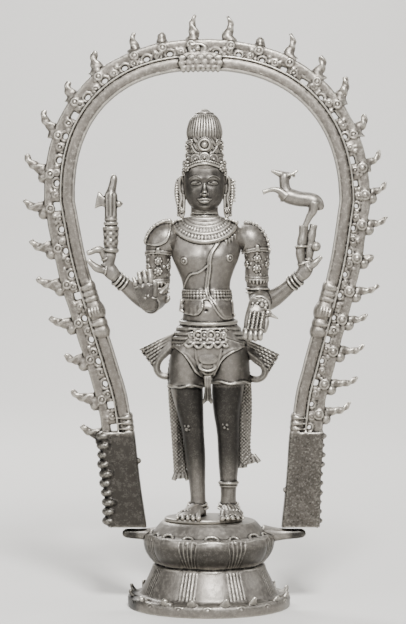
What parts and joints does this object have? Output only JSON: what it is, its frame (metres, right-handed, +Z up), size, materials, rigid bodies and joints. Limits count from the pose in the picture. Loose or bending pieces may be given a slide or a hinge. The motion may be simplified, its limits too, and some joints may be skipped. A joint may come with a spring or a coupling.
{
  "type": "standing deity figure in a flame aureole",
  "caption": "Four-armed standing Shiva with axe and deer, cast in bronze, on a double lotus pedestal inside a horseshoe aureole of flames",
  "frame": {"origin": "centre of the pedestal's flat underside", "axes": "+Z up, the figure faces -Y, +X to the right as seen from the front"},
  "size_m": [0.4006, 0.18, 0.651],
  "materials": {
    "figure_bronze": "cast bronze, dark patina, worn lighter on the high places",
    "pedestal_bronze": "cast bronze, dull grey brown patina with dust in the grooves",
    "aureole_bronze": "cast bronze, rough crusted patina"
  },
  "bodies": {
    "root": {"shiva_figure": "figure_bronze", "lotus_pedestal": "pedestal_bronze", "flame_aureole": "aureole_bronze"}
  },
  "joints": []
}
